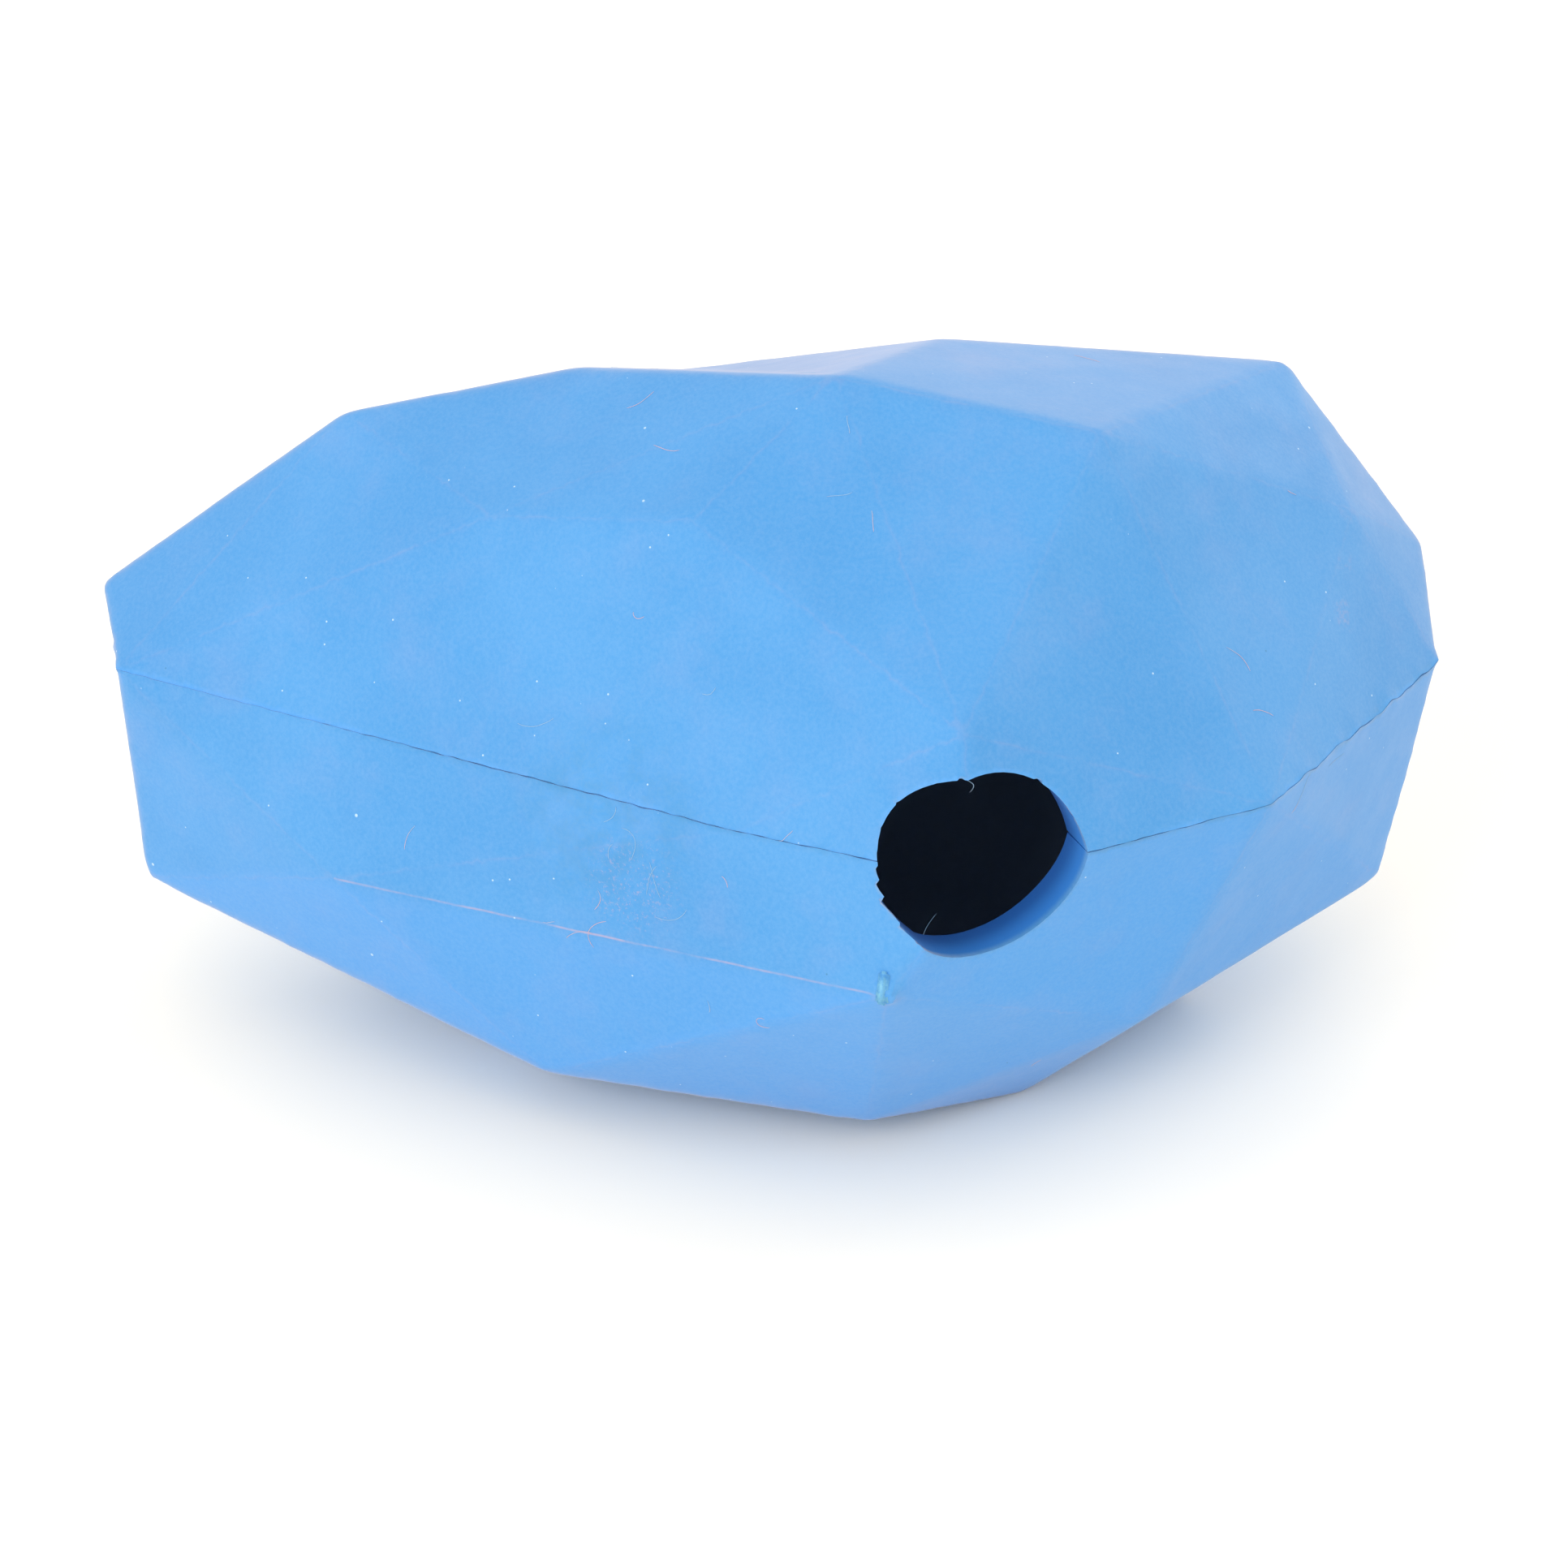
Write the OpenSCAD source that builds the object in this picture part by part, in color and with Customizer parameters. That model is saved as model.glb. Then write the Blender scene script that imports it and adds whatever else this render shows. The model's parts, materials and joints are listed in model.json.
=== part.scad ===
// Faceted hollow treat toy of moulded rubber: two half shells bonded at a level parting line,
// with a round treat hole bored through the line in front. Millimetres, +Z up, -Y is the front.
// The origin is the middle of the footprint, on the plane of the flat base.

/* [Overall] */
// length over the two end corners, along X
toy_len = 137; // [105:1:175]
// depth over the front and back corners, along Y
toy_depth = 90; // [75:1:120]
// height of the crown above the parting line
crown_h = 35.5; // [28:0.5:44]
// depth of the flat base below the parting line
base_h = 40.5; // [32:0.5:50]

/* [Shell] */
// thickness of the rubber wall, square to each facet at least this
wall = 4; // [2.5:0.1:6]

/* [Bond] */
// thickness of the cement film between the two lands
film_t = 0.3; // [0.2:0.05:0.6]
// depth of the groove left outside the film
groove_d = 0.6; // [0.3:0.1:1.2]
// play kept between the film and the edge of the treat hole
film_play = 0.2; // [0.1:0.05:0.5]

/* [Treat hole] */
// diameter of the treat hole
hole_d = 19; // [12:0.5:23]
// turn of the hole's axis from straight ahead, towards +X
hole_turn = 22; // [15:1:28]
// sideways shift of the hole's axis from the middle of the toy
hole_shift = 4; // [2:0.1:6]
// drop of the hole's axis below the parting line
hole_drop = 0.8; // [0:0.1:2]

/* [Vent pip] */
// diameter of the small moulding pip under the hole
pip_d = 1.5; // [1:0.1:2.5]
// height the pip stands proud of its corner
pip_h = 0.8; // [0.4:0.1:1.5]
// length of the pip's root inside the wall
pip_root = 1.5; // [1:0.1:2]

/* [Hidden] */

upper_col = [0.20, 0.47, 0.85];
lower_col = [0.20, 0.47, 0.85];
film_col = [0.08, 0.20, 0.40];
hole_fn = 96;
pip_fn = 32;
far = toy_len;     // longer than the toy is deep, for the cutters

// Corners, as percent of half the length, half the depth, and the crown height or base depth.
// Capitals are seen from the front, small letters are their fellows round the back.
seam_at = "ABHCDdhba";
seam_pc = [
    [-96, -2], [-4, -78], [29, -100], [71, -66], [100, 2],       // A B H C D, left to right in front
    [95, 49], [40, 95], [-26, 100], [-100, 41]                   // d h b a, right to left behind
];
upper_at = "EFGVIJKONPLMZif";
upper_pc = [
    [-100, 22, 13], [-62, 20, 68], [-28, 12, 86], [10, -19, 100],    // E F G V, up the left ridge
    [26, 23, 89], [78, 40, 73], [99, 27, 23],                    // I J K, down the right lobe
    [-39, -22, 60], [-10, -42, 70],                              // O N, shoulder of the left face
    [27, -87, 35], [47, -31, 90], [86, 4, 47],                  // P L M, brow over the hole
    [-13, 71, 54], [32, 77, 56], [-67, 57, 40]                   // Z i f, behind the crown
];
lower_at = "QRSTUWXYqrsy1234";
lower_pc = [
    [-94, -1, -60], [-63, -39, -37], [17, -98, -32],             // Q R S, under the seam
    [-32, -54, -83], [15, -63, -91], [38, -38, -100],            // T U W, front of the belly
    [55, -59, -64], [94, 6, -64],                                // X Y, right flank
    [-98, 36, -32], [-24, 90, -45], [42, 88, -53], [91, 53, -38],    // q r s y, back flank
    [-36, -18, -100], [-47, 36, -100], [7, 58, -100], [64, 8, -100]  // 1 2 3 4, of the base
];

// Facets by their corners, clockwise seen from outside.
upper_faces = [
    "AEF", "AFO", "FGO", "GVO", "VNO", "AON", "ANB", "NPB", "VPN", "VLP", "PHB", "PCH",
    "PLC", "LMC", "MDC", "VJL", "VIJ", "LJM", "MJK", "MKD",
    "VZI", "GZV", "FZG", "FfZ", "EfF", "AaE", "Eaf", "abf", "fbZ", "bhi", "biZ", "IZi",
    "IiJ", "ihJ", "hdJ", "dKJ", "dDK"
];
lower_faces = [
    "ABR", "BSR", "BHS", "HCS", "SCX", "CYX", "CDY", "ARQ", "QRT", "RST", "SUT", "SXU", "UXW",
    "TU1", "UW1", "QT1", "Q12", "XY4", "X4W", "1W432", "Yy4", "AQq", "Aqa", "Q2q", "aqr", "arb",
    "q2r", "23r", "brs", "bsh", "r3s", "hsy", "hyd", "s34", "s4y", "dyY", "dYD"
];

names = str(seam_at, upper_at, lower_at);
corners = [
    for (p = seam_pc) [p[0] * toy_len / 200, p[1] * toy_depth / 200, 0],
    for (p = upper_pc) [p[0] * toy_len / 200, p[1] * toy_depth / 200, p[2] * crown_h / 100],
    for (p = lower_pc) [p[0] * toy_len / 200, p[1] * toy_depth / 200, p[2] * base_h / 100]
];
function numbers(letters) = [for (c = letters) search(c, names)[0]];
facets = [for (f = concat(upper_faces, lower_faces)) numbers(f)];

// Direction square to each facet, pointing out of the toy.
function unit(v) = v / norm(v);
squares = [for (f = facets) unit(cross(corners[f[2]] - corners[f[0]], corners[f[1]] - corners[f[0]]))];
function squares_at(i) = [for (k = [0:len(facets) - 1]) if (len(search(i, facets[k])) > 0) squares[k]];
function total(v, i = 0) = i < len(v) ? v[i] + total(v, i + 1) : [0, 0, 0];
function outward(i, flat = 1) = unit([for (k = [0:2]) total(squares_at(i))[k] * (k == 2 ? flat : 1)]);

// Corners of the hollow: each outer corner moved in until it is a wall's thickness from every
// facet that meets there. Those of the parting line, and E of the blunt nose just above it, move
// in level, so that the hollow never folds over the line.
function moved_in(i, dir) = corners[i] - dir * wall / min([for (n = squares_at(i)) n * dir]);
function is_level(i) = i < len(seam_at) || i == numbers("E")[0];
hollow = [for (i = [0:len(corners) - 1]) moved_in(i, outward(i, is_level(i) ? 0 : 1))];

// The hollow's floor is split into triangles, because its corners do not lie quite level.
hollow_facets = [for (f = facets) for (k = [1:len(f) - 2]) [f[0], f[k], f[k + 1]]];

module lifted() {
    translate([0, 0, base_h]) children();
}

module hole_cut(play = 0) {
    rotate([0, 0, hole_turn]) translate([hole_shift, 0, -hole_drop]) rotate([90, 0, 0])
        cylinder(d = hole_d + 2 * play, h = far, $fn = hole_fn);
}

// All the rubber between the outer facets and the hollow, above or below the cement film.
module shell(side) {
    difference() {
        polyhedron(corners, facets);
        polyhedron(hollow, hollow_facets);
        hole_cut();
        translate([-far, -far, side > 0 ? film_t / 2 - far : -film_t / 2]) cube([2 * far, 2 * far, far]);
    }
}

module upper_half_shell() {
    color(upper_col) lifted() shell(1);
}

module lower_half_shell() {
    pip_at = numbers("S")[0];
    lean = outward(pip_at);
    color(lower_col) lifted() {
        shell(-1);
        translate(corners[pip_at] - lean * pip_root)
            rotate([0, acos(lean[2]), atan2(lean[1], lean[0])])
                cylinder(d = pip_d, h = pip_root + pip_h, $fn = pip_fn);
    }
}

module bond_film() {
    line = [for (i = [0:len(seam_at) - 1]) [corners[i][0], corners[i][1]]];
    color(film_col) lifted() difference() {
        translate([0, 0, -film_t / 2]) linear_extrude(film_t) offset(delta = -groove_d) polygon(line);
        polyhedron(hollow, hollow_facets);
        hole_cut(film_play);
    }
}

upper_half_shell();
lower_half_shell();
bond_film();
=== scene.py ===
import json
import math

import bmesh
import bpy
import numpy as np
from bpy.props import FloatProperty, FloatVectorProperty, IntProperty, PointerProperty
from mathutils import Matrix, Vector
from mathutils.bvhtree import BVHTree
from mathutils.geometry import delaunay_2d_cdt


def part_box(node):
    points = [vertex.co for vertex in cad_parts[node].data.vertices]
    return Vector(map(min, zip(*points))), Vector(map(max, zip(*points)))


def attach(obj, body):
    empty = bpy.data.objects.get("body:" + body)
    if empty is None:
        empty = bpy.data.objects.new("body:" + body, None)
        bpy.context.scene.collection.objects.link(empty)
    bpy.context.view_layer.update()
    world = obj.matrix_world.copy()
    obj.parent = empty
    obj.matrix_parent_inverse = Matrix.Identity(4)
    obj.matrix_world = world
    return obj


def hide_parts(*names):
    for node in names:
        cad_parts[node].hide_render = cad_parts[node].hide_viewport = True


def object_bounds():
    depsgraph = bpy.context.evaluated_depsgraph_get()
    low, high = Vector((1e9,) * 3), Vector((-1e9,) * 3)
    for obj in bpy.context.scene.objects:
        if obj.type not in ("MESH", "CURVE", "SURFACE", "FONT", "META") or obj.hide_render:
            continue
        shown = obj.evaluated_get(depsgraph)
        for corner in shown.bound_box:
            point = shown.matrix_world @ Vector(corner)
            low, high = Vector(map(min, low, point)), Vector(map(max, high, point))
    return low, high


bl_info = {
    "name": "Faceted treat toy",
    "version": (1, 0, 0),
    "blender": (4, 5, 0),
    "location": "3D View > Sidebar > Treat toy",
    "description": "Builds the moulded rubber half shells, the cement line, the lint and the stage",
    "category": "Object",
}

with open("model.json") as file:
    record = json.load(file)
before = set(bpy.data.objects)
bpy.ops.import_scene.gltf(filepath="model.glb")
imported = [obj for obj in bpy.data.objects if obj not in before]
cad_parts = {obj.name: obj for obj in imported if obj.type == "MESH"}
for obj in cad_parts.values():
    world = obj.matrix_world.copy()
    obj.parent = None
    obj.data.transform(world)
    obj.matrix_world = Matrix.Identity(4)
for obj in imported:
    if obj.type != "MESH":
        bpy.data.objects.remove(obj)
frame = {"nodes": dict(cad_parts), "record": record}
cad_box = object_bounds()

MM = 0.001
SHELLS = {"upper_skin": "upper_half_shell", "lower_skin": "lower_half_shell"}
FILM = "bond_film"
SEAM_Z = sum(corner.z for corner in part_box(FILM)) / 2
HOLE = next(m for m in frame["record"]["mounts"] if m["name"] == "treat_hole")
HOLE_AT = np.array(HOLE["pos_m"])
HOLE_WAY = np.array(HOLE["axis"])
HOLE_R = HOLE["dims"]["r_mm"] * MM
LOW, HIGH = (np.array(c) for c in (cad_box[0], cad_box[1]))


# ---------------------------------------------------------------- settings


class TreatToyShape(bpy.types.PropertyGroup):
    """Sizes of the moulded surface."""

    grain: FloatProperty(
        name="Mesh grain", description="Spacing of the even mesh laid on the facets",
        default=0.6 * MM, min=0.3 * MM, max=2 * MM, precision=5, unit="LENGTH")
    edge_passes: IntProperty(
        name="Edge rounding", description="Smoothing passes that round the moulded edges",
        default=7, min=0, max=40)
    flash: FloatProperty(
        name="Flash", description="How far the thin flash stands out along the parting line",
        default=0.15 * MM, min=0, max=1 * MM, precision=5, unit="LENGTH")
    line_wave: FloatProperty(
        name="Line wave", description="How far the parting line wanders up and down",
        default=0.3 * MM, min=0, max=1 * MM, precision=5, unit="LENGTH")
    squeeze: FloatProperty(
        name="Squeezed cement", description="How far the cement was squeezed out into the groove",
        default=0.4 * MM, min=0, max=1 * MM, precision=5, unit="LENGTH")
    sink: FloatProperty(
        name="Facet sink", description="Unevenness of the facets from moulding",
        default=0.05 * MM, min=0, max=0.5 * MM, precision=5, unit="LENGTH")
    nick: FloatProperty(
        name="Rim nicks", description="Depth of the small nicks in the hole's rim",
        default=0.6 * MM, min=0, max=1 * MM, precision=5, unit="LENGTH")


class TreatToyLook(bpy.types.PropertyGroup):
    """Colours and finish of the rubber."""

    rubber: FloatVectorProperty(
        name="Rubber", description="Colour of the clean rubber", subtype="COLOR", size=3,
        default=(0.068, 0.290, 0.64), min=0, max=1)
    rubber_deep: FloatVectorProperty(
        name="Deep rubber", description="Colour of the less dusty patches", subtype="COLOR", size=3,
        default=(0.054, 0.265, 0.605), min=0, max=1)
    # Painted fill light: the facets that face the floor are blended bluer, in place of light from below.
    rubber_under_painted_fill: FloatVectorProperty(
        name="Under rubber", description="Colour of the facets that face the floor and gather no dust",
        subtype="COLOR", size=3, default=(0.072, 0.305, 0.705), min=0, max=1)
    dust: FloatVectorProperty(
        name="Dust", description="Colour of the pale dust on edges and upper facets", subtype="COLOR",
        size=3, default=(0.40, 0.37, 0.56), min=0, max=1)
    pale: FloatVectorProperty(
        name="Pale specks", description="Colour of the pale specks and the fine grain",
        subtype="COLOR", size=3, default=(0.42, 0.60, 0.78), min=0, max=1)
    # Painted highlight colour of the pale lines along the creases, also used for the real scuff and the
    # reddish streak.
    wear_and_highlight: FloatVectorProperty(
        name="Worn edge", description="Colour of the rubbed creases", subtype="COLOR", size=3,
        default=(0.52, 0.36, 0.44), min=0, max=1)
    grime: FloatVectorProperty(
        name="Grime", description="Colour of the grime in the parting line and smudges", subtype="COLOR",
        size=3, default=(0.04, 0.20, 0.38), min=0, max=1)
    # Painted shade: the hole's wall is coloured darker and bluer, darkening from its mouth inwards.
    bore_painted_shade: FloatVectorProperty(
        name="Bore", description="Colour of the hole's wall near its mouth", subtype="COLOR", size=3,
        default=(0.03, 0.20, 0.62), min=0, max=1)
    deep_bore_painted_shade: FloatVectorProperty(
        name="Deep bore", description="Colour of the hole's wall at its inner end", subtype="COLOR", size=3,
        default=(0.006, 0.06, 0.28), min=0, max=1)
    # Painted light and shade: a grey-blue unlike the rubber, set for how bright the shaded hollow and the
    # rim's nicks show.
    inside: FloatVectorProperty(
        name="Inside", description="Colour of the dark hollow", subtype="COLOR", size=3,
        default=(0.24, 0.34, 0.50), min=0, max=1)
    sheen: FloatProperty(
        name="Sheen", description="Strength of the dusty sheen at grazing angles",
        default=0.43, min=0, max=1)
    sheen_tint: FloatVectorProperty(
        name="Sheen tint", description="Colour of the dusty sheen", subtype="COLOR", size=3,
        default=(1.0, 0.80, 0.72), min=0, max=1)
    cement: FloatVectorProperty(
        name="Cement", description="Colour of the cured cement", subtype="COLOR", size=3,
        default=(0.09, 0.38, 0.60), min=0, max=1)
    pip: FloatVectorProperty(
        name="Pip", description="Colour of the pale moulding pip", subtype="COLOR", size=3,
        default=(0.17, 0.46, 0.66), min=0, max=1)
    lint: FloatVectorProperty(
        name="Lint", description="Colour of the pale lint fibres", subtype="COLOR", size=3,
        default=(0.26, 0.46, 0.68), min=0, max=1)
    lint_warm: FloatVectorProperty(
        name="Warm lint", description="Colour of the tinted lint fibres", subtype="COLOR", size=3,
        default=(0.55, 0.42, 0.50), min=0, max=1)
    fibres: IntProperty(
        name="Fibres", description="How many lint fibres lie on the rubber", default=46, min=0, max=300)
    fibre_r: FloatProperty(
        name="Fibre radius", description="Thickness of a lint fibre", default=0.03 * MM,
        min=0.01 * MM, max=0.2 * MM, precision=6, unit="LENGTH")


class TreatToyStage(bpy.types.PropertyGroup):
    """Camera, floor and lights."""

    view_lift: FloatProperty(
        name="View lift", description="Angle of the camera above the floor",
        default=math.radians(28), min=0, max=math.radians(89), subtype="ANGLE")
    view_distance: FloatProperty(
        name="View distance", description="Distance of the camera from the point it looks at",
        default=0.4549, min=0.1, max=3, unit="LENGTH")
    lens: FloatProperty(
        name="Lens", description="Focal length for a 36 mm wide sensor, in millimetres",
        default=102.85, min=20, max=300)
    floor: FloatVectorProperty(
        name="Floor", description="Colour of the floor", subtype="COLOR", size=3,
        default=(0.985, 0.935, 0.855), min=0, max=1)
    sky: FloatProperty(
        name="Sky", description="Strength of the white room all round", default=1.18, min=0, max=5)
    sky_tint: FloatVectorProperty(
        name="Room tint", description="Colour of the white room", subtype="COLOR", size=3,
        default=(1.0, 0.98, 0.94), min=0, max=1)
    rim: FloatProperty(
        name="Rim light", description="Power of the soft lamp behind on the right, in watts",
        default=3.2, min=0, max=200)
    key: FloatProperty(
        name="Key light", description="Power of the large soft lamp, in watts", default=7.0, min=0, max=200)


def settings():
    scene = bpy.context.scene
    return scene.treat_toy_shape, scene.treat_toy_look, scene.treat_toy_stage


# ---------------------------------------------------------------- mesh helpers


def welded(node):
    """A copy of a CAD node's mesh with its split corners joined and its flat faces whole."""
    bm = bmesh.new()
    bm.from_mesh(frame["nodes"][node].data)
    bmesh.ops.remove_doubles(bm, verts=bm.verts, dist=1e-6)
    bmesh.ops.dissolve_limit(bm, angle_limit=math.radians(0.3), verts=bm.verts, edges=bm.edges)
    bm.normal_update()
    bm.verts.index_update()
    bm.edges.index_update()
    bm.faces.index_update()
    return bm


def tree_of(nodes):
    """One search tree over the surfaces of several CAD nodes."""
    points, faces = [], []
    for node in nodes:
        bm = welded(node)
        bmesh.ops.triangulate(bm, faces=bm.faces)
        start = len(points)
        points += [v.co.copy() for v in bm.verts]
        faces += [[start + v.index for v in f.verts] for f in bm.faces]
        bm.free()
    return BVHTree.FromPolygons(points, faces)


def from_axis(points):
    """Steps from the treat hole's axis straight out to each point."""
    away = points - HOLE_AT
    return away - np.outer(away @ HOLE_WAY, HOLE_WAY)


def to_edges(points, edges):
    """Distance of each point from the nearest of some straight edges."""
    best = np.full(len(points), 1.0)
    for start, end in edges:
        along = end - start
        share = np.clip((points - start) @ along / (along @ along), 0, 1)
        gap = np.linalg.norm(points - start - share[:, None] * along, axis=1)
        best = np.minimum(best, gap)
    return best


def side_of(points, edges):
    """How far each point lies above or below a straight crease, or well away from every crease."""
    best = np.full(len(points), 1.0)
    for start, end in edges:
        length = np.linalg.norm(end - start)
        along = (end - start) / length
        outward = (start + end) / 2 * (1, 1, 0)
        across = np.cross(along, outward / np.linalg.norm(outward))
        step = (points - start) @ along
        beside = (step > 0) & (step < length)
        near = np.linalg.norm(points - start - np.outer(step, along), axis=1) < 3 * MM
        gap = np.where(near & beside, (points - start) @ across, 1.0)
        best = np.where(np.abs(gap) < np.abs(best), gap, best)
    return best


def relaxed(points, pairs, hold, passes):
    """Moves each point towards the middle of its neighbours, less where hold is near 1."""
    count = np.bincount(pairs.ravel(), minlength=len(points))[:, None]
    step = 0.5 * (1 - hold)[:, None]
    for _ in range(passes):
        middle = np.zeros_like(points)
        for axis in range(points.shape[1]):
            for here, there in ((0, 1), (1, 0)):
                middle[:, axis] += np.bincount(
                    pairs[:, here], points[pairs[:, there], axis], len(points))
        points = points + step * (middle / count - points)
    return points


def ripple(points, lengths, seed):
    """A smooth random wave, between about -1 and 1, with waves of the given lengths."""
    draw = np.random.default_rng(seed)
    total = np.zeros(len(points))
    for length in lengths:
        for _ in range(3):
            way = draw.normal(size=3)
            way *= 2 * math.pi / (length * np.linalg.norm(way))
            total += np.sin(points @ way + draw.uniform(0, 2 * math.pi))
    return total / math.sqrt(3 * len(lengths)) / 1.4


def bell(distance, width):
    return np.exp(-((distance / width) ** 2))


def line_shift(points, shape):
    """How far the parting line wanders at each point, most along the blunt right end."""
    right = np.clip((points[:, 0] - 0.6 * HIGH[0]) / (0.25 * HIGH[0]), 0, 1)
    wave = ripple(points * (1, 1, 0), (6 * MM, 2.8 * MM), 5)
    near = bell(points[:, 2] - SEAM_Z, 1.5 * MM)
    return shape.line_wave * wave * near * (0.2 + 0.8 * right)


def add_layer(mesh, name, values):
    layer = mesh.attributes.new(name, "FLOAT", "POINT")
    layer.data.foreach_set("value", np.asarray(values, np.float32))


def new_piece(name, mesh, material, node=None):
    """Puts a mesh in the scene as a piece that stays with the part."""
    piece = bpy.data.objects.new(name, mesh)
    bpy.context.scene.collection.objects.link(piece)
    mesh.materials.append(material)
    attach(piece, "root")
    if node:
        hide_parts(node)
    return piece


# ---------------------------------------------------------------- the half shells

# What a face belongs to.
INNER, OUTER, BORE, PIP, LAND = range(5)

CREASE_ANGLE = math.radians(4)      # creases flatter than this get no painted highlight line
HIGHLIGHT_LINE_LEVEL = 0.65                 # height of the crease with the strong painted highlight line, as a share of the parting line's height
HIGHLIGHT_LINE_SPREAD = 0.06                # how far from that height its ends may lie, as the same share
# Strength and width of the painted highlight lines along the creases.
CREASE_HIGHLIGHT = 0.48
HIGHLIGHT_WIDTH = 0.25 * MM
RIM_HOLD = 0.5 * MM                 # the hole's rim keeps its sharp edge within this
LINE_HOLD = 0.6 * MM                # and the parting line within this
SINK_WAVES = (14 * MM, 6 * MM)
FLASH_WAVES = (9 * MM, 3 * MM, 1.4 * MM)
FLASH_HEIGHT = 0.35 * MM
LIP_WAVES = (5 * MM, 2 * MM)
TOOTH = 1.6 * MM                    # spacing of the torn teeth on the hole's rim
TEAR_DEPTH = 2.5 * MM               # how far a nick runs down the hole's wall
TEAR_REACH = 1.3 * MM               # and out over the facets
DEEP = 4 * MM                       # depth into the hole's wall at which its painted shade is darkest


def face_kinds(bm):
    """Says of each face whether it is in the hollow, outside, in the hole, on the pip or a land."""
    both = tree_of(SHELLS.values())
    kinds = []
    for face in bm.faces:
        corners = np.array([v.co for v in face.verts])
        on_wall = np.abs(np.linalg.norm(from_axis(corners), axis=1) - HOLE_R).max() < 0.02 * MM
        start = face.calc_center_median_weighted() + face.normal * 0.05 * MM
        if on_wall and abs(float(np.array(face.normal) @ HOLE_WAY)) < 0.1:
            kinds.append(BORE)
        elif abs(face.normal.z) > 0.999 and np.abs(corners[:, 2] - SEAM_Z).max() < 0.5 * MM:
            kinds.append(LAND)
        elif face.calc_area() < 2.5 * MM * MM:
            kinds.append(PIP)
        else:
            kinds.append(INNER if both.ray_cast(start, face.normal)[0] else OUTER)
    return kinds


def edge_step(kinds, shape):
    """How finely an edge is divided, from the kinds of its two faces."""
    if OUTER in kinds:
        return shape.grain if kinds == {OUTER} else 0.5 * shape.grain
    return 2 * shape.grain if kinds in ({BORE}, {BORE, INNER}) else 6 * shape.grain


def fill_face(rim, normal, step):
    """Triangles and new points that fill one flat face evenly, given its rim in order."""
    side = Vector(normal).orthogonal().normalized()
    up = Vector(normal).cross(side)
    axes = np.array([side, up]).T
    flat = rim @ axes
    low, high = flat.min(0), flat.max(0)
    fresh = np.zeros((0, 2))
    if step:
        rows = np.arange(low[1], high[1], step * math.sqrt(3) / 2)
        columns = np.arange(low[0], high[0], step)
        grid = np.array([(x + (row % 2) * step / 2, y) for row, y in enumerate(rows) for x in columns])
        ends = list(zip(flat, np.roll(flat, -1, axis=0)))
        inside = np.zeros(len(grid), bool)
        for (x0, y0), (x1, y1) in ends:
            between = (y0 > grid[:, 1]) != (y1 > grid[:, 1])
            cross = np.where(between, (x1 - x0) * (grid[:, 1] - y0) / ((y1 - y0) or 1) + x0, -1e9)
            inside ^= between & (grid[:, 0] < cross)
        grid = grid[inside]
        fresh = grid[to_edges(grid, ends) > 0.55 * step]
    everything = np.vstack((flat, fresh))
    done = delaunay_2d_cdt([Vector(p) for p in everything], [], [list(range(len(rim)))], 1, 1e-9)
    origin = [found[0] for found in done[3]]
    faces = [[origin[i] for i in face] for face in done[2]]
    height = rim.mean(0) @ np.array(normal)
    return faces, fresh @ axes.T + height * np.array(normal)


def fine_mesh(bm, kinds, shape):
    """Points, triangles and the kind of each triangle: an even mesh that keeps every edge."""
    points = [np.array(v.co) for v in bm.verts]
    steps = {}
    for edge in bm.edges:
        start, end = (np.array(v.co) for v in edge.verts)
        step = edge_step({kinds[f.index] for f in edge.link_faces}, shape)
        parts = max(1, round(np.linalg.norm(end - start) / step))
        middle = list(range(len(points), len(points) + parts - 1))
        points += [start + (end - start) * k / parts for k in range(1, parts)]
        steps[edge.index] = [edge.verts[0].index, *middle, edge.verts[1].index]
    triangles, sources = [], []
    for face in bm.faces:
        rim = []
        for loop in face.loops:
            run = steps[loop.edge.index]
            rim += (run if run[0] == loop.vert.index else run[::-1])[:-1]
        step = shape.grain if kinds[face.index] == OUTER else 0
        flat, fresh = fill_face(np.array([points[i] for i in rim]), face.normal, step)
        names = rim + list(range(len(points), len(points) + len(fresh)))
        points += list(fresh)
        triangles += [[names[i] for i in t] for t in flat]
        sources += [kinds[face.index]] * len(flat)
    return np.array(points), np.array(triangles), np.array(sources)


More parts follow.
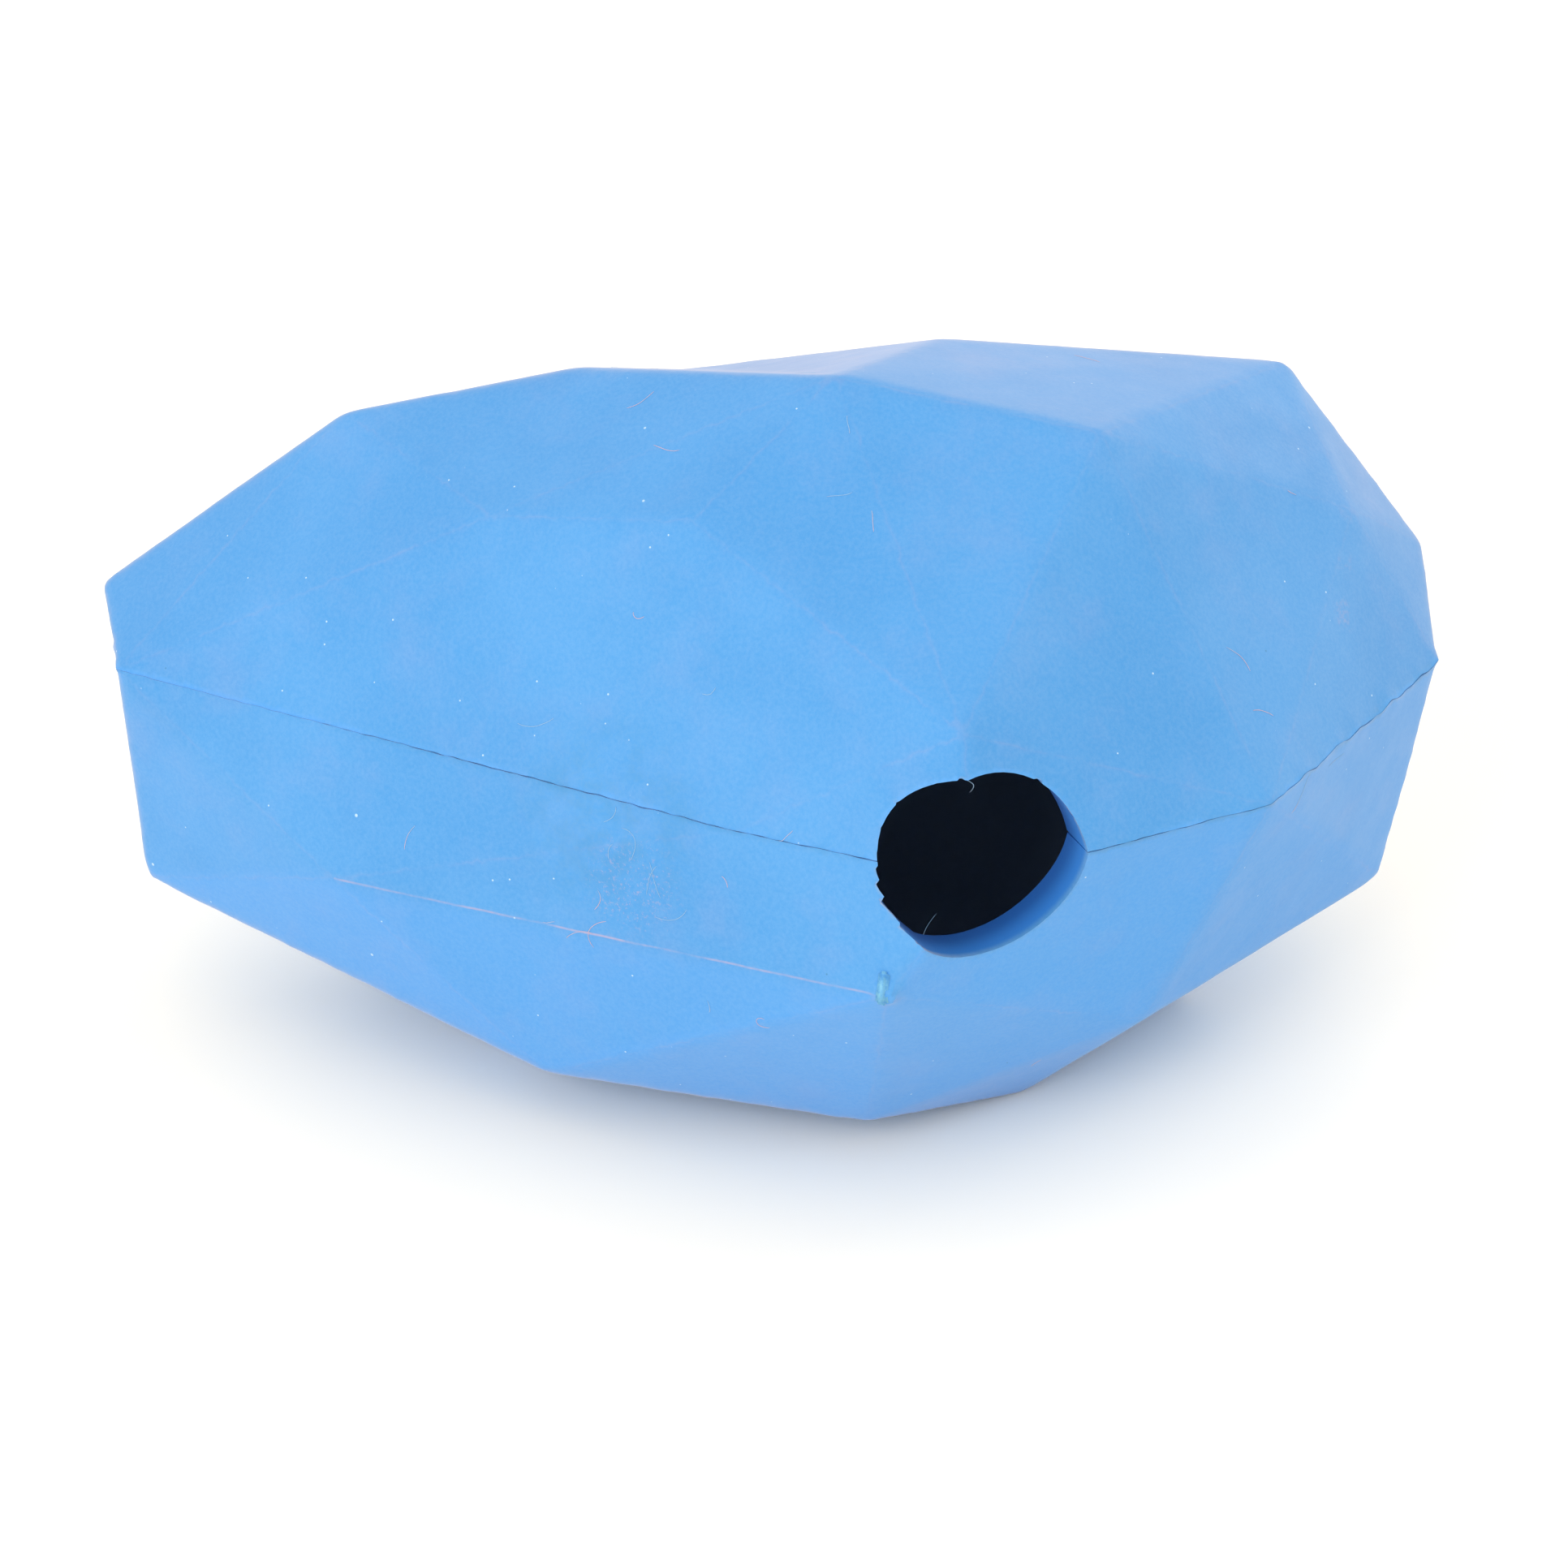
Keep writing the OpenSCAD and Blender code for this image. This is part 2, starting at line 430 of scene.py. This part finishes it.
def build_shell(name, node):
    """One moulded half: facets with rounded edges, a wandering parting line and a nicked rim."""
    shape, look, _ = settings()
    bm = welded(node)
    kinds = face_kinds(bm)
    creases = []
    for edge in bm.edges:
        sides = [kinds[f.index] for f in edge.link_faces]
        if sides == [OUTER, OUTER] and edge.is_convex and edge.calc_face_angle() > CREASE_ANGLE:
            creases.append([np.array(v.co) for v in edge.verts])
    # The crease at about this height gets a strong painted highlight line.
    painted_highlight_line = [ends for ends in creases
              if max(abs(p[2] / SEAM_Z - HIGHLIGHT_LINE_LEVEL) for p in ends) < HIGHLIGHT_LINE_SPREAD]
    points, triangles, sources = fine_mesh(bm, kinds, shape)
    bm.free()
    touches = np.zeros((5, len(points)), bool)
    for kind in range(5):
        touches[kind, triangles[sources == kind].ravel()] = True
    on_outside = touches[OUTER] & ~touches[BORE] & ~touches[LAND]
    mesh = bpy.data.meshes.new(name)
    mesh.from_pydata(points.tolist(), [], triangles.tolist())
    pairs = np.array([e.vertices[:] for e in mesh.edges])

    axis_gap = np.linalg.norm(from_axis(points), axis=1)
    in_front = (points - HOLE_AT) @ HOLE_WAY > -0.02
    near_rim = np.where(in_front, bell(axis_gap - HOLE_R, RIM_HOLD), 0)
    near_line = bell(points[:, 2] - SEAM_Z, LINE_HOLD)
    hold = np.clip(np.maximum(near_rim, near_line), 0, 1)
    # Painted highlight: pale lines along the convex creases.
    wear_and_highlight = CREASE_HIGHLIGHT * bell(to_edges(points, creases), HIGHLIGHT_WIDTH)
    hold[~(on_outside | touches[PIP])] = 1
    points = relaxed(points, pairs, hold, shape.edge_passes)

    surface = touches[OUTER] | touches[PIP]
    flat = points * (1, 1, 0)
    outward = flat / np.linalg.norm(flat, axis=1)[:, None]
    above_base = np.clip((points[:, 2] - LOW[2]) / (6 * MM), 0, 1)
    sink = shape.sink * ripple(points, SINK_WAVES, 31) * surface * above_base
    ragged_end = 1 + 2 * bell(points[:, 0] - LOW[0], 5 * MM)
    flash = shape.flash * (0.3 + 0.5 * ripple(flat, FLASH_WAVES, 11))
    flash *= bell(points[:, 2] - SEAM_Z, FLASH_HEIGHT) * surface * ragged_end
    lip = touches[OUTER] & touches[LAND]
    left = bell(np.maximum(points[:, 0] - LOW[0] - 14 * MM, 0), 22 * MM)
    share = np.clip(0.78 + 0.24 * ripple(flat, LIP_WAVES, 17) + 0.3 * left, 0, 0.985)
    close = (points[:, 2] - SEAM_Z) * share * lip
    on_rim = touches[OUTER] & touches[BORE]
    low_left = bell(points[:, 2] - (SEAM_Z - 3.2 * MM), 2.8 * MM)
    low_left = low_left * (points[:, 0] < HOLE_AT[0] - 0.5 * HOLE_R)
    teeth = (points[:, 2] / TOOTH + 0.2 * ripple(points, (2.5 * MM,), 23)) % 1
    chips = np.clip(2 * ripple(points, (3.1 * MM, 0.9 * MM), 29) - 1.5, 0, 0.4)
    chips = chips * (points[:, 2] > SEAM_Z)
    deep = np.zeros(len(points))
    for i in np.flatnonzero(touches[BORE]):
        deep[i] = np.linalg.norm(points[on_rim] - points[i], axis=1).min()
    reach = np.clip(1 - (axis_gap - HOLE_R) / TEAR_REACH, 0, 1) * in_front * touches[OUTER]
    reach = np.maximum(reach, touches[BORE] * np.clip(1.5 - deep / TEAR_DEPTH, 0, 1))
    nicks = reach * np.clip(teeth * low_left + chips, 0, 1)
    shift = line_shift(points, shape)
    points = points + outward * (flash - sink)[:, None]
    points += from_axis(points) / HOLE_R * (shape.nick * nicks)[:, None]
    points[:, 2] += shift - close
    points = np.clip(points, LOW, HIGH)

    mesh.vertices.foreach_set("co", points.astype(np.float32).ravel())
    mesh.shade_smooth()
    mesh.set_sharp_from_angle(angle=math.radians(40))
    # Painted highlight: the crease lines, and a fainter line round the hole's rim.
    add_layer(mesh, "edge", np.maximum(wear_and_highlight, 0.2 * on_rim) * surface)
    add_layer(mesh, "seam", bell(points[:, 2] - SEAM_Z, 0.3 * MM) * surface * (1 - 0.9 * left))
    # Painted highlight: distance from the crease that gets the strong line.
    add_layer(mesh, "painted_highlight_line", side_of(points, painted_highlight_line) / MM)
    # How far into the hole's wall each point lies, for its painted shade.
    add_layer(mesh, "deep", np.clip(deep / DEEP, 0, 1))
    # The hollow's walls and the nicks on the rim take the hollow's painted colour.
    add_layer(mesh, "hollow", np.maximum(touches[INNER] & ~touches[BORE], nicks * on_rim))
    mesh.update()
    ways = np.array([v.normal for v in mesh.vertices])
    # Facets that face the floor, which get the painted fill light and less sheen.
    under = np.clip(-ways[:, 2] / 0.25, 0, 1) * surface
    add_layer(mesh, "under", under)
    add_layer(mesh, "bare", under * np.clip(0.35 + points[:, 0] / HIGH[0], 0, 1))
    return new_piece(name, mesh, rubber_finish(look), node)


def pip_spot():
    """A spot on the facet just above the moulding pip, and the way that facet faces."""
    bm = welded(SHELLS["lower_skin"])
    kinds = face_kinds(bm)
    end = max((f for f in bm.faces if kinds[f.index] == PIP), key=lambda f: f.calc_area())
    start = end.calc_center_median() + Vector((-0.3, -5, 1.5)) * MM
    bm.free()
    return tree_of([SHELLS["lower_skin"]]).ray_cast(start, Vector((0, 1, 0)))[:2]


# ---------------------------------------------------------------- finishes


class Finish:
    """A small helper that adds nodes to one material and joins them."""

    def __init__(self, name):
        self.material = bpy.data.materials.new(name)
        self.material.use_nodes = True
        self.tree = self.material.node_tree
        self.shader = self.tree.nodes["Principled BSDF"]

    def add(self, kind, inputs=None, **options):
        node = self.tree.nodes.new(kind)
        for key, value in options.items():
            setattr(node, key, value)
        for key, value in (inputs or {}).items():
            self.put(node.inputs[key], value)
        return node

    def put(self, socket, value):
        if isinstance(value, bpy.types.NodeSocket):
            self.tree.links.new(value, socket)
        elif hasattr(value, "__len__") and len(value) == 3 and socket.type == "RGBA":
            socket.default_value = (*value, 1)
        else:
            socket.default_value = value

    def place(self):
        """Object coordinates in millimetres."""
        spot = self.add("ShaderNodeTexCoord").outputs["Object"]
        return self.add("ShaderNodeVectorMath", {0: spot, 1: (1000, 1000, 1000)},
                        operation="MULTIPLY").outputs[0]

    def layer(self, name):
        return self.add("ShaderNodeAttribute", attribute_name=name).outputs["Fac"]

    def noise(self, at, scale, detail=3, rough=0.55):
        return self.add("ShaderNodeTexNoise", {
            "Vector": at, "Scale": scale, "Detail": detail, "Roughness": rough}).outputs["Fac"]

    def remap(self, value, low, high, to_low=0.0, to_high=1.0):
        node = self.add("ShaderNodeMapRange", {
            "Value": value, "From Min": low, "From Max": high, "To Min": to_low, "To Max": to_high})
        node.interpolation_type = "SMOOTHSTEP"
        return node.outputs[0]

    def maths(self, operation, a, b=0.5):
        return self.add("ShaderNodeMath", {0: a, 1: b}, operation=operation).outputs[0]

    def blend(self, share, a, b):
        node = self.add("ShaderNodeMix", data_type="RGBA")
        self.put(node.inputs[0], share)
        self.put(node.inputs[6], a)
        self.put(node.inputs[7], b)
        return node.outputs[2]

    def bump(self, height, strength, distance, under=None):
        inputs = {"Height": height, "Strength": strength, "Distance": distance}
        if under:
            inputs["Normal"] = under
        return self.add("ShaderNodeBump", inputs).outputs[0]

    def specks(self, at, cell, size, share):
        """Small round dots in some of the cells of a random grid."""
        cells = self.add("ShaderNodeTexVoronoi", {"Vector": at, "Scale": 1 / cell})
        dot = self.remap(cells.outputs["Distance"], size / cell, size / cell * 0.5)
        pick = self.add("ShaderNodeSeparateColor", {0: cells.outputs["Color"]}).outputs[0]
        return self.maths("MULTIPLY", dot, self.maths("LESS_THAN", pick, share))

    def patch(self, at, middle, radius):
        """A soft round patch about a point, in millimetres."""
        gap = self.add("ShaderNodeVectorMath", {0: at, 1: middle}, operation="DISTANCE").outputs["Value"]
        return self.remap(gap, radius, radius * 0.3)


# Marks on the rubber, in millimetres from the part's origin: a grey smudge and a pale scuff
# under the parting line, and a reddish streak on the right lobe, each with its radius.
SMUDGE_AT, SMUDGE_R = (-15, -29, 38), 13
SCUFF_AT, SCUFF_R = (-12.6, -31.4, 32.6), 7
STREAK = ((56.6, 1.7, 56.1), (56.5, -2.5, 52.7), (56.5, -6.8, 49.3))
STREAK_R = 2.6


def rubber_finish(look):
    """Matte moulded rubber with dust haze, specks, smudges, a dirty parting line, painted highlight lines on
    the creases and the rim, painted shade in the hole, painted light in the hollow and painted fill light on
    the facets that face the floor.
    """
    old = bpy.data.materials.get("moulded_rubber")
    if old:
        return old
    f = Finish("moulded_rubber")
    at = f.place()
    colour = f.blend(f.remap(f.noise(at, 0.035, 3), 0.35, 0.65), look.rubber_deep, look.rubber)
    # Painted fill light: the facets that face the floor are blended bluer.
    colour = f.blend(f.layer("under"), colour, look.rubber_under_painted_fill)
    haze = f.remap(f.noise(at, 0.12, 5, 0.65), 0.45, 0.8, 0.0, 0.10)
    colour = f.blend(haze, colour, look.dust)
    # Painted highlight: pale broken lines along the creases and the rim.
    broken = f.remap(f.noise(at, 0.22, 5, 0.7), 0.35, 0.7, 0.1, 0.9)
    wear_and_highlight = f.maths("MULTIPLY", f.maths("POWER", f.layer("edge"), 3.0), broken)
    colour = f.blend(wear_and_highlight, colour, look.wear_and_highlight)
    # Painted highlight: a thin strong pale line along one crease.
    painted_highlight_line = f.remap(f.maths("ABSOLUTE", f.layer("painted_highlight_line")), 0.05, 0.17, 1.0, 0.0)
    thin = f.remap(f.noise(at, 0.16, 4, 0.7), 0.35, 0.65, 0.06, 0.5)
    colour = f.blend(f.maths("MULTIPLY", painted_highlight_line, thin), colour, look.wear_and_highlight)
    grain = f.remap(f.noise(at, 2.4, 4, 0.75), 0.3, 0.7, 0.0, 0.08)
    colour = f.blend(grain, colour, look.pale)
    for cell, size, share in ((2.3, 0.13, 0.5), (5.9, 0.22, 0.4)):
        pale = f.specks(at, cell, size, share)
        colour = f.blend(f.maths("MULTIPLY", pale, 0.95), colour, look.pale)
    dark = f.specks(at, 4.7, 0.13, 0.35)
    colour = f.blend(f.maths("MULTIPLY", dark, 0.7), colour, look.grime)
    line = f.maths("MULTIPLY", f.layer("seam"), f.remap(f.noise(at, 0.25, 4), 0.35, 0.65, 0.0, 0.35))
    colour = f.blend(line, colour, look.grime)
    cloudy = f.remap(f.noise(at, 0.3, 5, 0.7), 0.4, 0.65, 0, 0.22)
    smudge = f.maths("MULTIPLY", f.patch(at, SMUDGE_AT, SMUDGE_R), cloudy)
    colour = f.blend(smudge, colour, look.grime)
    scratchy = f.remap(f.noise(at, 2.6, 5, 0.75), 0.52, 0.7, 0, 0.4)
    scuff = f.maths("MULTIPLY", f.patch(at, SCUFF_AT, SCUFF_R), scratchy)
    colour = f.blend(scuff, colour, look.wear_and_highlight)
    for middle in STREAK:
        patchy = f.remap(f.noise(at, 0.9, 4, 0.7), 0.45, 0.7, 0, 0.35)
        red = f.maths("MULTIPLY", f.patch(at, middle, STREAK_R), patchy)
        colour = f.blend(red, colour, look.wear_and_highlight)
    # Painted shade: the hole's wall darkens from its mouth inwards.
    in_hole = f.remap(f.layer("deep"), 0.0, 0.25)
    colour = f.blend(in_hole, colour, look.bore_painted_shade)
    colour = f.blend(f.remap(f.layer("deep"), 0.2, 1.0, 0.0, 0.7), colour, look.deep_bore_painted_shade)
    # Painted light and shade: the hollow and the rim's nicks get their own grey-blue in place of the rubber.
    colour = f.blend(f.layer("hollow"), colour, look.inside)
    f.put(f.shader.inputs["Base Color"], colour)
    f.put(f.shader.inputs["Roughness"], f.remap(f.noise(at, 0.25, 4), 0.3, 0.7, 0.6, 0.75))
    f.put(f.shader.inputs["Specular IOR Level"], 0.3)
    dusty = f.remap(f.layer("bare"), 0.0, 1.0, look.sheen, 0.4 * look.sheen)
    f.put(f.shader.inputs["Sheen Weight"], f.maths("MULTIPLY", dusty, f.remap(in_hole, 0.0, 1.0, 1.0, 0.1)))
    f.put(f.shader.inputs["Sheen Roughness"], 0.4)
    f.put(f.shader.inputs["Sheen Tint"], look.sheen_tint)
    skin = f.bump(f.noise(at, 2.2, 3, 0.6), 0.08, 0.15 * MM)
    skin = f.bump(f.noise(at, 0.22, 4), 0.12, 0.5 * MM, skin)
    f.put(f.shader.inputs["Normal"], skin)
    return f.material


def cement_finish(look):
    """Dark cured rubber cement, uneven and a little glossy."""
    f = Finish("cured_cement")
    at = f.place()
    tone = f.remap(f.noise(at, 0.8, 4), 0.3, 0.7)
    f.put(f.shader.inputs["Base Color"], f.blend(tone, look.cement, look.grime))
    f.put(f.shader.inputs["Roughness"], f.remap(tone, 0, 1, 0.45, 0.7))
    f.put(f.shader.inputs["Normal"], f.bump(f.noise(at, 1.5, 3), 0.4, 0.1 * MM))
    return f.material


def pip_finish(look):
    """Pale torn rubber of the moulding pip."""
    f = Finish("torn_rubber")
    at = f.place()
    tone = f.remap(f.noise(at, 1.6, 4), 0.3, 0.7)
    f.put(f.shader.inputs["Base Color"], f.blend(tone, look.pip, look.rubber))
    f.put(f.shader.inputs["Roughness"], f.remap(tone, 0, 1, 0.5, 0.8))
    f.put(f.shader.inputs["Normal"], f.bump(f.noise(at, 3.0, 3), 0.3, 0.1 * MM))
    return f.material


def lint_finish(look):
    """Pale household fibre, some of it tinted."""
    f = Finish("lint_fibre")
    at = f.place()
    tone = f.remap(f.noise(at, 0.15, 2), 0.4, 0.6)
    f.put(f.shader.inputs["Base Color"], f.blend(tone, look.lint, look.lint_warm))
    f.put(f.shader.inputs["Roughness"], f.remap(f.noise(at, 4.0, 2), 0.3, 0.7, 0.6, 0.9))
    return f.material


def floor_finish(stage):
    """Plain pale sweep with a faint tone."""
    f = Finish("pale_sweep")
    at = f.place()
    darker = tuple(0.985 * c for c in stage.floor)
    f.put(f.shader.inputs["Base Color"], f.blend(f.noise(at, 0.004, 2), stage.floor, darker))
    f.put(f.shader.inputs["Roughness"], 0.9)
    f.put(f.shader.inputs["Specular IOR Level"], 0.1)
    return f.material


# ---------------------------------------------------------------- operators


class TOY_OT_half_shells(bpy.types.Operator):
    """Build the two moulded rubber half shells"""

    bl_idname = "treat_toy.half_shells"
    bl_label = "Half shells"

    def execute(self, context):
        for name, node in SHELLS.items():
            build_shell(name, node)
        return {"FINISHED"}


class TOY_OT_cement_line(bpy.types.Operator):
    """Lay the cement film between the halves so that it follows the wandering line"""

    bl_idname = "treat_toy.cement_line"
    bl_label = "Cement line"

    def execute(self, context):
        shape, look, _ = settings()
        bm = welded(FILM)
        bmesh.ops.triangulate(bm, faces=bm.faces)
        for _ in range(8):
            long = [e for e in bm.edges if e.calc_length() > 1.5 * MM]
            bmesh.ops.subdivide_edges(bm, edges=long, cuts=1)
            bmesh.ops.triangulate(bm, faces=[f for f in bm.faces if len(f.verts) > 3])
        mesh = bpy.data.meshes.new("cement_line")
        bm.to_mesh(mesh)
        bm.free()
        points = np.array([v.co for v in mesh.vertices])
        ways = np.array([v.normal for v in mesh.vertices])
        flat = points * (1, 1, 0)
        outward = flat / np.linalg.norm(flat, axis=1)[:, None]
        facing_out = (ways * outward).sum(axis=1) > 0.2
        points += outward * (shape.squeeze * facing_out)[:, None]
        points[:, 2] += line_shift(points, shape)
        mesh.vertices.foreach_set("co", points.astype(np.float32).ravel())
        mesh.update()
        new_piece("cement_line", mesh, cement_finish(look), FILM)
        return {"FINISHED"}


class TOY_OT_pip(bpy.types.Operator):
    """Build the small torn pip that moulding left under the hole"""

    bl_idname = "treat_toy.pip"
    bl_label = "Moulding pip"

    def execute(self, context):
        _, look, _ = settings()
        spot, way = pip_spot()
        up = (Vector((0, 0, 1)) - way * way.z).normalized()
        side = up.cross(way)
        bm = bmesh.new()
        bmesh.ops.create_cube(bm, size=1)
        for vert in bm.verts:
            taper = 0.8 if vert.co.y > 0 else 1.0
            vert.co = Vector((vert.co.x * 1.25 * taper, vert.co.y * 3.3, vert.co.z * 1.4)) * MM
        bmesh.ops.bevel(bm, geom=bm.edges[:], offset=0.28 * MM, segments=3, affect="EDGES")
        for vert in bm.verts:
            x, y, z = vert.co
            vert.co = spot + side * x + up * (y - 0.4 * MM) + way * (z - 0.1 * MM)
        mesh = bpy.data.meshes.new("pip_tab")
        bm.to_mesh(mesh)
        bm.free()
        mesh.shade_smooth()
        new_piece("pip_tab", mesh, pip_finish(look))
        return {"FINISHED"}


FIBRE_POINTS = 10
SCUFF_WAY = (-12.6, -31.4, -8)      # from the middle of the parting line towards the scuff
SCATTER = 4.5                       # spread of the fibres round that direction

# Hairs in the mouth of the hole: angle round the hole in degrees, length and sideways bend in
# millimetres, and the start along the hole's axis as a share of the hole's length.
HAIRS = ((100, 1.3, 0.5, 0.5), (240, 2.8, -0.25, -0.15))


def strand(first):
    """Faces of one three-sided fibre whose rings of points start at the given number."""
    faces = []
    for ring in range(first, first + 3 * (FIBRE_POINTS - 1), 3):
        faces += [(ring + i, ring + (i + 1) % 3, ring + 3 + (i + 1) % 3, ring + 3 + i) for i in range(3)]
    return faces


def closest(trees, spot):
    """The nearest place on any of the given surfaces, with its facing."""
    return min((tree.find_nearest(spot) for tree in trees), key=lambda hit: hit[3])[:2]


class TOY_OT_lint(bpy.types.Operator):
    """Scatter fine lint fibres over the rubber"""

    bl_idname = "treat_toy.lint"
    bl_label = "Lint"

    def execute(self, context):
        _, look, _ = settings()
        skins = [bpy.data.objects[name] for name in SHELLS]
        trees = [BVHTree.FromObject(skin, context.evaluated_depsgraph_get()) for skin in skins]
        draw = np.random.default_rng(8)
        points, faces = [], []
        per_fibre = 3 * (FIBRE_POINTS - 1)
        while len(faces) < per_fibre * look.fibres:
            out = Vector(draw.normal(size=3))
            if len(faces) < per_fibre * look.fibres / 4:
                out = Vector(SCUFF_WAY) + SCATTER * out
            out.normalize()
            start = Vector((0, 0, SEAM_Z)) + out * 3 * HIGH[0]
            hits = [hit for hit in (tree.ray_cast(start, -out) for tree in trees) if hit[0]]
            if not hits:
                continue
            spot, face_way = min(hits, key=lambda hit: hit[3])[:2]
            if spot.z < LOW[2] + 3 * MM:
                continue
            along = face_way.cross(Vector(draw.normal(size=3))).normalized()
            turn = draw.normal(scale=0.08)
            step = draw.uniform(0.12, 0.5) * MM
            first = len(points)
            for k in range(FIBRE_POINTS):
                spot, face_way = closest(trees, spot)
                side = face_way.cross(along).normalized()
                radius = look.fibre_r * (0.5 if k in (0, FIBRE_POINTS - 1) else 1.0)
                lift = spot + face_way * 0.8 * look.fibre_r
                points += [lift + side * radius, lift - side * radius, lift + face_way * radius]
                turn += draw.normal(scale=0.06)
                along = (along - face_way * along.dot(face_way) + side * turn).normalized()
                spot = spot + along * step
            faces += strand(first)
        axis = Vector(HOLE_WAY)
        side = Vector(np.cross((0, 0, 1), HOLE_WAY))
        for angle, length, bend, depth in HAIRS:
            turn = math.radians(angle)
            way = side * math.cos(turn) + Vector((0, 0, math.sin(turn)))
            mouth = Vector(HOLE_AT) + axis * depth * HOLE["dims"]["length_mm"] * MM + way * HOLE_R
            spot = closest(trees, mouth)[0]
            first = len(points)
            for k in range(FIBRE_POINTS):
                share = k / (FIBRE_POINTS - 1)
                at = spot - way * length * MM * share + side * bend * MM * math.sin(math.pi * share)
                radius = look.fibre_r * (1.1 - 0.6 * share)
                points += [at + side * radius, at - side * radius, at + axis * radius]
            faces += strand(first)
        mesh = bpy.data.meshes.new("lint")
        mesh.from_pydata([tuple(p) for p in points], [], faces)
        mesh.update()
        new_piece("lint", mesh, lint_finish(look))
        return {"FINISHED"}


# Half the width of the floor, where the lamps hang and how wide they are, in metres.
FLOOR_SIZE = 6.0
KEY_AT, KEY_WIDTH = (-0.70, -1.05, 0.62), 0.8
RIM_AT, RIM_WIDTH = (0.98, 0.74, 0.56), 0.6
AIM_FROM_LINE = (1.9 * MM, -5.65 * MM, -10.6 * MM)      # the point looked at, from the line's middle


class TOY_OT_stage(bpy.types.Operator):
    """Set up the floor, the soft lights and the camera"""

    bl_idname = "treat_toy.stage"
    bl_label = "Stage"

    def execute(self, context):
        _, _, stage = settings()
        scene = context.scene
        mesh = bpy.data.meshes.new("floor")
        square = ((-1, -1), (1, -1), (1, 1), (-1, 1))
        mesh.from_pydata([(x * FLOOR_SIZE, y * FLOOR_SIZE, LOW[2]) for x, y in square],
                         [], [(0, 1, 2, 3)])
        floor = bpy.data.objects.new("floor", mesh)
        scene.collection.objects.link(floor)
        mesh.materials.append(floor_finish(stage))

        world = bpy.data.worlds.new("white_room")
        world.use_nodes = True
        room = world.node_tree.nodes["Background"]
        room.inputs["Color"].default_value = (*stage.sky_tint, 1)
        room.inputs["Strength"].default_value = stage.sky
        scene.world = world

        middle = Vector((0, 0, SEAM_Z))
        for name, place, width, power in (
            ("key", Vector(KEY_AT), KEY_WIDTH, stage.key),
            ("rim", Vector(RIM_AT), RIM_WIDTH, stage.rim),
        ):
            lamp = bpy.data.lights.new(name, "AREA")
            lamp.size = width
            lamp.energy = power
            holder = bpy.data.objects.new(name, lamp)
            holder.location = place
            holder.rotation_euler = (middle - place).to_track_quat("-Z", "Y").to_euler()
            scene.collection.objects.link(holder)

        camera = bpy.data.objects.new("camera", bpy.data.cameras.new("camera"))
        camera.data.lens = stage.lens
        camera.data.sensor_width = 36
        camera.data.clip_start = 0.01
        aim = middle + Vector(AIM_FROM_LINE)
        back = Vector((0, -math.cos(stage.view_lift), math.sin(stage.view_lift)))
        camera.location = aim + back * stage.view_distance
        camera.rotation_euler = (math.pi / 2 - stage.view_lift, 0, 0)
        scene.collection.objects.link(camera)
        scene.camera = camera
        scene.view_settings.view_transform = "Standard"
        return {"FINISHED"}


class TOY_PT_panel(bpy.types.Panel):
    """Lists the toy's settings and the steps that build it"""

    bl_idname = "TOY_PT_panel"
    bl_label = "Treat toy"
    bl_space_type = "VIEW_3D"
    bl_region_type = "UI"
    bl_category = "Treat toy"

    def draw(self, context):
        for group, steps in (
            (context.scene.treat_toy_shape, (TOY_OT_half_shells,)),
            (context.scene.treat_toy_look, (TOY_OT_cement_line, TOY_OT_pip, TOY_OT_lint)),
            (context.scene.treat_toy_stage, (TOY_OT_stage,)),
        ):
            box = self.layout.box()
            for key in group.__annotations__:
                box.prop(group, key)
            for step in steps:
                box.operator(step.bl_idname)


GROUPS = {"treat_toy_shape": TreatToyShape, "treat_toy_look": TreatToyLook, "treat_toy_stage": TreatToyStage}
CLASSES = (*GROUPS.values(), TOY_OT_half_shells, TOY_OT_cement_line, TOY_OT_pip, TOY_OT_lint, TOY_OT_stage,
           TOY_PT_panel)


def register():
    for cls in CLASSES:
        bpy.utils.register_class(cls)
    for name, cls in GROUPS.items():
        setattr(bpy.types.Scene, name, PointerProperty(type=cls))


def unregister():
    for name in GROUPS:
        delattr(bpy.types.Scene, name)
    for cls in reversed(CLASSES):
        bpy.utils.unregister_class(cls)


def main():
    register()
    bpy.ops.treat_toy.half_shells()
    bpy.ops.treat_toy.cement_line()
    bpy.ops.treat_toy.pip()
    bpy.ops.treat_toy.lint()
    bpy.ops.treat_toy.stage()


if __name__ == "__main__":
    main()
